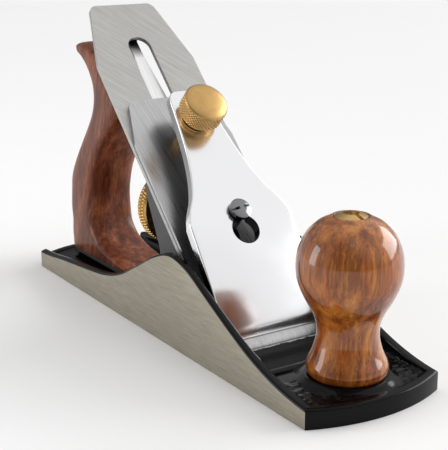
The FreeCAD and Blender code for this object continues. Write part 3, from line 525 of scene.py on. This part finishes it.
def make_casting():
    """The casting's shell, as a height field with vertical sides and a flat sole."""
    side_marks = [0, 0.12, 0.35, 0.7, 1.1, 1.8, 2.6, 2.9, 3.2, 3.5, 3.7, 3.85, 3.95, 4.1, 4.3, 4.6, 4.9,
                  5.2, 5.7, 6.2, 6.8, 7.4]
    across = sorted({round(s * (HALF_WIDTH - m), 4) for m in side_marks for s in (-1, 1)}
                    | {round(y, 4) for y in stations(-24.4, 24.4, 0.8)})
    ends = [0, 0.12, 0.35, 0.7, 1.1, 1.8, 2.6, 3.2, 3.7, 4.2, 4.8, 5.8]
    along = stations(-116, 116, 0.8, (77, 86, 0.35), (59, 69, 0.35))
    along = sorted(set(along) | {-HALF_LENGTH + e for e in ends} | {HALF_LENGTH - e for e in ends})
    verts, rows = [], []
    for mark in along:
        toe_share, heel_share = ease(86, 116, mark), ease(86, 116, -mark)
        row = []
        for y in across:
            toe_line = HALF_LENGTH - end_line(y, TOE_BULGE)
            heel_line = -HALF_LENGTH + end_line(y, HEEL_BULGE)
            x = mark + (toe_line - HALF_LENGTH) * toe_share + (heel_line + HALF_LENGTH) * heel_share
            row.append(len(verts))
            verts.append((x, y, casting_height(x, y, toe_line - x, x - heel_line)))
        rows.append(row)
    faces = [(a[i], b[i], b[i + 1], a[i + 1]) for a, b in zip(rows, rows[1:]) for i in range(len(across) - 1)]
    near, far = [row[0] for row in rows], [row[-1] for row in reversed(rows)]
    border = near + rows[-1][1:] + far[1:] + rows[0][-2:0:-1]
    foot = [len(verts) + i for i in range(len(border))]
    verts += [(verts[i][0], verts[i][1], 0.0) for i in border]
    count = len(border)
    faces += [(border[i], border[(i + 1) % count], foot[(i + 1) % count], foot[i]) for i in range(count)]
    faces.append(tuple(foot))
    shell = make_object("body_shell", verts, faces, 40)
    cut_mouth(shell)
    for material in (ENAMEL, GROUND, DULL_BLACK, LIP_STEEL):
        shell.data.materials.append(material)
    for face in shell.data.polygons:
        x, y, z = face.center / MM
        on_side = abs(face.normal.y) > 0.95 and abs(y) > HALF_WIDTH - 0.05
        on_sole = face.normal.z < -0.95 and z < 0.1
        between_walls = face.normal.z > 0.3 and abs(y) < 27.6
        ragged = 61.3 + 0.9 * noise.noise(Vector((x * 0.5, y * 0.5, 3.0)))
        on_lip = between_walls and 56 < x < ragged
        in_well = between_walls and ragged <= x < WELL_END
        face.material_index = 1 if on_side or on_sole else 3 if on_lip else 2 if in_well else 0
    return stand_for(shell, "casting", "cast_body", "body_casting")


def cut_mouth(shell):
    """The mouth through the sole, its back wall parallel to the bed."""
    low, high = -3.0, 14.0
    outline = [(MOUTH_BACK - low, low), (MOUTH_BACK - high, high), (MOUTH_FRONT, high), (MOUTH_FRONT, low)]
    verts = [(x, y, z) for y in (-MOUTH_HALF, MOUTH_HALF) for x, z in outline]
    faces = [(0, 1, 2, 3), (7, 6, 5, 4)] + [(i, (i + 1) % 4, (i + 1) % 4 + 4, i + 4) for i in range(4)]
    cutter = make_object("mouth_cutter", verts, faces)
    cut_away(shell, cutter)


def cut_away(piece, cutter):
    """Takes the cutter's volume out of a piece, and removes the cutter."""
    cut = piece.modifiers.new("cut", "BOOLEAN")
    cut.operation = "DIFFERENCE"
    cut.solver = "EXACT"
    cut.object = cutter
    apply_modifiers(piece)
    bpy.data.objects.remove(cutter)


def apply_modifiers(piece):
    """Keeps what the modifiers make as the piece's own mesh."""
    bpy.context.view_layer.update()
    graph = bpy.context.evaluated_depsgraph_get()
    final = bpy.data.meshes.new_from_object(piece.evaluated_get(graph))
    piece.modifiers.clear()
    old = piece.data
    piece.data = final
    bpy.data.meshes.remove(old)
    final.shade_smooth()
    final.set_sharp_from_angle(angle=math.radians(35))


make_casting()


# ------------------------------------------------------------------ front knob

KNOB = middle("front_knob")
KNOB_LOW, KNOB_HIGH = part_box("front_knob")[0].z / MM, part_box("front_knob")[1].z / MM


def make_knob():
    """Knob: a ball on a waisted stem, with a ridge at its foot and a well for its nut."""
    side = spline([(15.9, KNOB_LOW + 3.1), (15.3, 14.6), (13.6, 18.2), (12.3, 22.5), (11.95, 26),
                   (12.4, 30), (14.0, 34.2), (17.3, 40.2), (19.6, 46.2), (20.2, 52), (19.4, 58),
                   (16.9, 63.6), (12.8, 68), (8.6, 70.3), (7.2, KNOB_HIGH)], 6)
    foot = rounded([(3.1, KNOB_LOW), (14.9, KNOB_LOW), (15.5, KNOB_LOW + 1.0), (15.75, KNOB_LOW + 2.6),
                    (15.9, KNOB_LOW + 3.1)], 0.3)
    well_floor = KNOB_HIGH - 4
    well = rounded([(7.2, KNOB_HIGH), (6.55, KNOB_HIGH - 0.3), (6.55, well_floor), (3.1, well_floor)], 0.2)
    knob = lathe("knob_body", foot[:-1] + side + well[1:], axis_frame((KNOB.x, KNOB.y, 0), (0, 0, 1)), 128)
    knob.data.materials.append(KNOB_WOOD)
    return stand_for(knob, "casting", "knob_wood", "front_knob")


make_knob()


# ------------------------------------------------------------------ rear handle

# The CAD handle's half thickness, for comparison: the stations below reach 1 mm outside it.
HANDLE_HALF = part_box("rear_handle")[1].y / MM
# Each station: rear (x, z), front (x, z), half thickness, squareness of the section.
HANDLE_STATIONS = [
    (-116.6, 7.7, -54.0, 7.7, 12.9, 9.0), (-116.8, 9.2, -55.2, 9.2, 13.0, 9.0),
    (-117.0, 10.6, -62.0, 10.5, 13.0, 8.0), (-117.2, 12.6, -74.0, 12.6, 13.0, 7.0),
    (-117.5, 16.0, -84.0, 16.2, 13.0, 6.0), (-117.8, 22.0, -89.6, 22.0, 13.0, 4.5),
    (-118.0, 29.0, -92.0, 29.5, 13.0, 4.8), (-117.3, 37.5, -92.4, 38.0, 13.0, 4.6),
    (-115.8, 46.4, -90.9, 45.6, 13.0, 4.6), (-109.8, 56.0, -88.0, 53.6, 13.0, 4.6),
    (-102.3, 65.5, -81.5, 63.5, 13.0, 4.6), (-94.9, 74.8, -74.0, 72.0, 13.0, 4.6),
    (-89.9, 82.5, -66.3, 79.4, 13.0, 4.6), (-87.9, 90.0, -62.0, 86.5, 13.0, 4.6),
    (-88.3, 96.5, -64.5, 95.2, 13.0, 4.6), (-90.4, 101.0, -72.5, 105.5, 13.0, 4.6),
    (-93.3, 104.6, -81.0, 112.2, 13.0, 4.6), (-97.0, 108.0, -91.0, 115.8, 13.0, 4.4),
    (-100.8, 110.2, -98.0, 116.2, 12.9, 4.4), (-102.9, 112.2, -101.6, 115.3, 12.2, 3.2),
]


def make_handle():
    """Sections stacked from the foot to the horn, each a rounded box across the grip."""
    around = 64
    sections = spline(HANDLE_STATIONS, 8)
    verts, rings = [], []
    for rear_x, rear_z, front_x, front_z, half, square in sections:
        centre = Vector(((rear_x + front_x) / 2, 0, (rear_z + front_z) / 2))
        reach = Vector(((front_x - rear_x) / 2, 0, (front_z - rear_z) / 2))
        ring = []
        for i in range(around):
            angle = TAU * i / around
            c, s = math.cos(angle), math.sin(angle)
            power = 2.0 / square
            u = math.copysign(abs(c) ** power, c)
            v = math.copysign(abs(s) ** power, s)
            ring.append(len(verts))
            verts.append(centre + reach * u + ACROSS * half * v)
        rings.append(ring)
    faces = [(a[i], a[(i + 1) % around], b[(i + 1) % around], b[i])
             for a, b in zip(rings, rings[1:]) for i in range(around)]
    faces += [tuple(reversed(rings[0])), tuple(rings[-1])]
    handle = make_object("handle_body", verts, faces, 50)
    handle.data.materials.append(HANDLE_WOOD)
    return stand_for(handle, "casting", "handle_wood", "rear_handle")


make_handle()


# ------------------------------------------------------------------ brass wheel and thumb screw

WHEEL = middle("depth_wheel")
WHEEL_LOW, WHEEL_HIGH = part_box("depth_wheel")


def make_wheel():
    """Depth wheel: two beaded rows round the rim, a dished face and a grooved hub."""
    radius = (WHEEL_HIGH.z - WHEEL_LOW.z) / 2 / MM
    length = (WHEEL_HIGH.x - WHEEL_LOW.x) / MM
    back = length - 0.8
    rim = back - 7.0
    place = axis_frame((WHEEL_HIGH.x, 0, WHEEL.z), (-1, 0, 0))
    beads = 72
    band = []
    for row in range(2):
        start = rim + 0.9 + row * 2.75
        for step in range(9):
            band.append((radius, start + 2.45 * step / 8))
    profile = (rounded([(3.55, 0), (10.0, 0), (10.0, 1.8), (7.0, 1.8), (7.0, rim), (14.0, rim)], 0.3)
               + rounded([(14.0, rim), (radius - 1.3, rim), (radius - 0.6, rim + 0.6)], 0.3)[1:] + band
               + rounded([(radius - 0.6, back - 0.5), (radius - 1.3, back), (14.8, back), (13.8, back - 2.4),
                          (8.0, back - 2.4), (7.4, length), (3.55, length)], 0.4))

    def knurl(angle, r, height):
        if r < radius - 0.01:
            return r
        row = 0 if height < rim + 3.4 else 1
        start = rim + 0.9 + row * 2.75
        crest = math.sin(math.pi * min(1, max(0, (height - start) / 2.45)))
        bead = abs(math.sin(angle * beads / 2 + row * math.pi / 2))
        return radius - 0.85 + 0.85 * crest ** 0.5 * bead ** 0.6

    wheel = lathe("wheel_body", profile, place, beads * 8, knurl, 50)
    wheel.data.materials.append(turned_brass("wheel_brass", (0.66, 0.41, 0.14), 0.20, WHEEL, (-1, 0, 0)))
    return stand_for(wheel, "depth_wheel", "brass", "depth_wheel")


make_wheel()

THUMB_POINT = Vector(JOINTS["thumb_screw_spin"]["pos_m"])
THUMB_FOOT = THUMB_POINT - BED_OUT * 20 * MM


def make_thumb_screw():
    """Thumb screw: domed top, diamond knurl, collar and shank."""
    radius = 10.05
    low, high = 23.2, 31.3
    rows = 36
    band = [(radius, low + 0.9 + (high - low - 1.2) * i / rows) for i in range(rows + 1)]
    stem = [(0, 5.3), (2.4, 5.3), (3.4, 6.6), (3.4, 20.6)]
    collar = rounded([(3.4, 20.6), (7.3, 20.6), (7.6, 21.2), (7.3, 22.6), (7.9, low + 0.1),
                      (radius - 0.3, low + 0.8)],
                     0.3)
    dome = spline([(radius - 0.2, high), (radius - 0.6, high + 0.6), (radius - 1.5, high + 1.15),
                   (6.4, high + 1.9), (3.2, high + 2.4), (0, high + 2.55)], 6)
    diamonds = 40

    def knurl(angle, r, height):
        if abs(r - radius) > 1e-6:
            return r
        climb = (height - low) * diamonds / (radius * 1.05)
        first = abs(math.sin((angle * diamonds + climb) / 2))
        second = abs(math.sin((angle * diamonds - climb) / 2))
        return radius - 0.55 + 0.55 * min(first, second) ** 0.75

    place = axis_frame(THUMB_FOOT, BED_OUT)
    screw = lathe("thumb_screw_body", stem[:-1] + collar + band + dome, place, diamonds * 10, knurl, 50)
    screw.data.materials.append(turned_brass("thumb_brass", (0.58, 0.36, 0.14), 0.30, THUMB_POINT, BED_OUT))
    return stand_for(screw, "thumb_screw", "brass", "thumb_screw")


make_thumb_screw()


# ------------------------------------------------------------------ lever cap

BED_FOOT = Vector(JOINTS["lateral_roller_spin"]["pos_m"]) - BED_UP * 98 * MM
CAP_FACE = [(8.0, 7.75), (8.4, 7.95), (9.2, 8.5), (10.2, 9.3), (11.2, 10.0), (12.2, 10.5), (13.5, 10.95),
            (16, 11.65), (20, 12.65), (25, 13.85), (30, 14.95), (40, 16.6), (50, 18.0), (58, 18.9),
            (68, 19.6), (78, 20.0), (90, 20.2), (105, 20.3), (118, 20.35), (122, 20.2), (123.4, 19.9),
            (124, 19.4)]
CAP_UNDER = [(8.0, 7.25), (20, 8.8), (40, 11.4), (58, 14.2), (78, 15.2), (105, 15.6), (124, 16.0)]
CAP_HALF = [(8, 25.3), (54, 25.3), (56.4, 25.2), (58.5, 24.8), (62.5, 23.3), (66, 21.3), (70, 18.9),
            (76, 16.6), (82, 14.8), (90, 12.9), (98, 11.6), (107, 10.4), (116, 9.4), (119, 9.0), (121, 8.3),
            (122.5, 7.0), (123.4, 5.2), (123.9, 2.8), (124, 1.2)]


def bed_spot(up, across, out):
    """A place on the bed in millimetres."""
    return BED_FOOT / MM + BED_UP * up + ACROSS * across + BED_OUT * out


# Keyhole: a wide round end, a narrow slot end, and their centres' places up the bed.
KEY_WIDE, KEY_NARROW = 6.5, 4.0
KEY_LOW, KEY_HIGH = 51.5, 60
SCREW_HOLE, SCREW_HOLE_UP = 3.45, 107.5


def angles(start, stop, step):
    """Angles in radians, given in whole degrees as a range."""
    return [math.radians(d) for d in range(start, stop, step)]


def make_lever_cap():
    """Sections across the cap, each with rounded upper edges; keyhole and screw hole cut through."""
    face_line, half_line = spline(CAP_FACE, 3), spline(CAP_HALF, 4)
    marks = stations(8, 124, 1.2, (8, 12, 0.3), (119, 122, 0.3), (122, 124, 0.1))
    marks = sorted({round(m, 3) for m in marks} | {123.95, 54, 57})
    across_steps = 26
    verts, rings = [], []
    for up in marks:
        half = ramp_through(half_line, up)
        face, under = ramp_through(face_line, up), ramp_through(CAP_UNDER, up)
        edge = min(0.75, half * 0.4, (face - under) * 0.45)
        flat = half - edge
        crown = 0.9 * ease(60, 24, up) * min(1.0, (face - under - 0.8) / 2.4)
        section = []
        for i in range(across_steps + 1):
            share = 2 * i / across_steps - 1
            section.append((flat * share, face - crown * share * share))
        face -= crown
        section += [(flat + edge * math.sin(a), face - edge + edge * math.cos(a))
                    for a in angles(15, 91, 15)]
        section += [(half, under + 0.35), (half - 0.35, under), (-half + 0.35, under), (-half, under + 0.35)]
        section += [(-flat - edge * math.sin(a), face - edge + edge * math.cos(a))
                    for a in angles(90, 14, -15)]
        rings.append(list(range(len(verts), len(verts) + len(section))))
        verts += [bed_spot(up, across, out) for across, out in section]
    count = len(rings[0])
    faces = [(a[i], a[(i + 1) % count], b[(i + 1) % count], b[i])
             for a, b in zip(rings, rings[1:]) for i in range(count)]
    faces += [tuple(reversed(rings[0])), tuple(rings[-1])]
    cap = make_object("cap_body", verts, faces, 40)
    wide, narrow, bore = KEY_WIDE, KEY_NARROW, SCREW_HOLE
    keyhole = [(wide * math.sin(a), KEY_LOW - wide * math.cos(a)) for a in angles(-142, 143, 4)]
    keyhole += [(narrow * math.cos(a), KEY_HIGH + narrow * math.sin(a)) for a in angles(0, 181, 10)]
    hole = [(bore * math.cos(a), SCREW_HOLE_UP + bore * math.sin(a)) for a in angles(0, 360, 10)]
    cut_prism(cap, keyhole, 2, 30)
    cut_prism(cap, hole, 2, 30)
    cap.data.materials.clear()
    cap.data.materials.append(CHROME)
    cap.data.materials.append(CAP_INSIDE)
    for face in cap.data.polygons:
        local = face.center / MM - BED_FOOT / MM
        up, out = local.dot(BED_UP), local.dot(BED_OUT)
        off_key = math.hypot(local.y, min(0, up - 55) + max(0, up - KEY_HIGH))
        inner = abs(face.normal.dot(BED_OUT)) < 0.5 and off_key < 7.6
        inner = inner and 44 < up < 65 and abs(local.y) < 6.6
        face.material_index = 1 if inner or face.normal.dot(BED_OUT) < -0.6 else 0
    return stand_for(cap, "lever_cap", "cap_chrome", "lever_cap")


def cut_prism(piece, outline, low, high):
    """Cuts a prism square to the bed out of a piece."""
    count = len(outline)
    verts = [bed_spot(up, across, out) for out in (low, high) for across, up in outline]
    faces = [tuple(range(count)), tuple(reversed(range(count, 2 * count)))]
    faces += [(i, (i + 1) % count, (i + 1) % count + count, i + count) for i in range(count)]
    cutter = make_object("prism_cutter", verts, faces)
    cut_away(piece, cutter)


make_lever_cap()


# ------------------------------------------------------------------ CAD pieces that keep their shape

dress("plane_iron", IRON_STEEL, 0.25)
dress("chipbreaker", BREAKER_STEEL, 0.3)
dress("lever_cap_screw", plain_steel("screw_steel", (0.24, 0.24, 0.25), 0.15))
dress("frog", FROG_PAINT, 0.15)
dress("yoke", FROG_PAINT, 0.25)
for small in ("knob_bolt", "handle_bolt", "frog_screws", "frog_screw_washers", "depth_stud", "yoke_pin",
              "lateral_rivet", "frog_adjusting_clip", "clip_screw", "frog_adjusting_screw", "cap_iron_screw",
              "lateral_roller"):
    dress(small, STEEL, 0.15)
dress("lateral_lever", LEVER_STEEL)
for nut in ("knob_nut", "handle_nut"):
    dress(nut, turned_brass(nut + "_brass", (0.66, 0.44, 0.18), 0.25, middle(nut), (0, 0, 1)), 0.2)


# ------------------------------------------------------------------ floor, light and camera


def make_stage():
    """Pale floor under the sole."""
    floor = make_object("floor", [(-6000, -6000, 0), (6000, -6000, 0), (6000, 6000, 0), (-6000, 6000, 0)],
                        [(0, 1, 2, 3)])
    floor.location.z = -0.0001
    s = Shader("pale_floor")
    s.set(Base_Color=(0.975, 0.975, 0.975, 1), Roughness=0.6)
    floor.data.materials.append(s.material)


def area_light(name, place, target, width, height, power):
    """A rectangular lamp that faces a point; sizes and places in metres."""
    lamp = bpy.data.lights.new(name, "AREA")
    lamp.shape = "RECTANGLE"
    lamp.size, lamp.size_y = width, height
    lamp.energy = power
    made = bpy.data.objects.new(name, lamp)
    made.location = place
    made.rotation_euler = (Vector(target) - Vector(place)).to_track_quat("-Z", "Y").to_euler()
    bpy.context.scene.collection.objects.link(made)


class Sky:
    """The studio round the object: bright above, dim behind the viewer, one window and one side screen."""

    def __init__(self):
        world = bpy.data.worlds.new("studio")
        bpy.context.scene.world = world
        world.use_nodes = True
        self.tree = world.node_tree
        self.way = self.tree.nodes.new("ShaderNodeTexCoord").outputs["Generated"]
        self.total = None

    def toward(self, direction):
        made = self.tree.nodes.new("ShaderNodeVectorMath")
        made.operation = "DOT_PRODUCT"
        made.inputs[1].default_value = direction
        self.tree.links.new(self.way, made.inputs[0])
        return made.outputs["Value"]

    def combine(self, kind, first, second):
        made = self.tree.nodes.new("ShaderNodeMath")
        made.operation = kind
        self.tree.links.new(first, made.inputs[0])
        self.tree.links.new(second, made.inputs[1])
        return made.outputs[0]

    def ramp(self, value, *stops):
        made = self.tree.nodes.new("ShaderNodeFloatCurve")
        curve = made.mapping.curves[0]
        curve.points[0].location = stops[0]
        curve.points[1].location = stops[-1]
        for stop in stops[1:-1]:
            curve.points.new(*stop)
        made.mapping.extend = "HORIZONTAL"
        made.mapping.update()
        self.tree.links.new(value, made.inputs["Value"])
        return made.outputs["Value"]

    def add(self, level, strength):
        made = self.tree.nodes.new("ShaderNodeMath")
        made.operation = "MULTIPLY"
        self.tree.links.new(level, made.inputs[0])
        made.inputs[1].default_value = strength
        self.total = self.combine("ADD", self.total, made.outputs[0]) if self.total else made.outputs[0]

    def window(self, direction, half_width, half_height, strength):
        """A soft-edged bright rectangle in one direction."""
        middle_way = Vector(direction).normalized()
        level = middle_way.cross(Vector((0, 0, 1))).normalized()
        upward = level.cross(middle_way)
        share = self.ramp(self.toward(middle_way), (0.0, 0.0), (0.3, 1.0))
        for axis, half in ((level, half_width), (upward, half_height)):
            made = self.tree.nodes.new("ShaderNodeMath")
            made.operation = "ABSOLUTE"
            self.tree.links.new(self.toward(axis), made.inputs[0])
            inside = self.ramp(made.outputs[0], (half - 0.03, 1.0), (half + 0.03, 0.0))
            share = self.combine("MULTIPLY", share, inside)
        self.add(share, strength)

    def finish(self):
        self.tree.links.new(self.total, self.tree.nodes["Background"].inputs["Color"])


def make_world():
    """Overhead glow, a dim side screen and one window."""
    sky = Sky()
    overhead = sky.toward((0.28, 0.51, 0.81))
    sky.add(sky.ramp(overhead, (0.0, 0.16), (0.45, 0.38), (0.75, 0.94), (1.0, 1.0)), 1.0)
    sky.add(sky.ramp(sky.toward((-0.62, -0.72, 0.30)), (0.45, 0.0), (0.85, 1.0)), 0.55)
    sky.window((0.16, 0.92, 0.34), 0.40, 0.25, 5.0)
    sky.finish()


def make_camera():
    """A long lens, to one side of the toe and a little above the object."""
    lens = bpy.data.cameras.new("camera")
    lens.lens = 88.34
    lens.sensor_width = 36.0
    camera = bpy.data.objects.new("camera", lens)
    camera.location = (0.400613, -0.250579, 0.178528)
    camera.rotation_euler = (1.292815, 0.003790, 0.995288)
    bpy.context.scene.collection.objects.link(camera)
    bpy.context.scene.camera = camera


make_stage()
make_world()
make_camera()
CENTRE = (0.05, 0.0, 0.05)
area_light("left_panel", (-0.45, -0.80, 0.26), CENTRE, 0.30, 0.55, 2.2)
bpy.context.scene.view_settings.view_transform = "Standard"
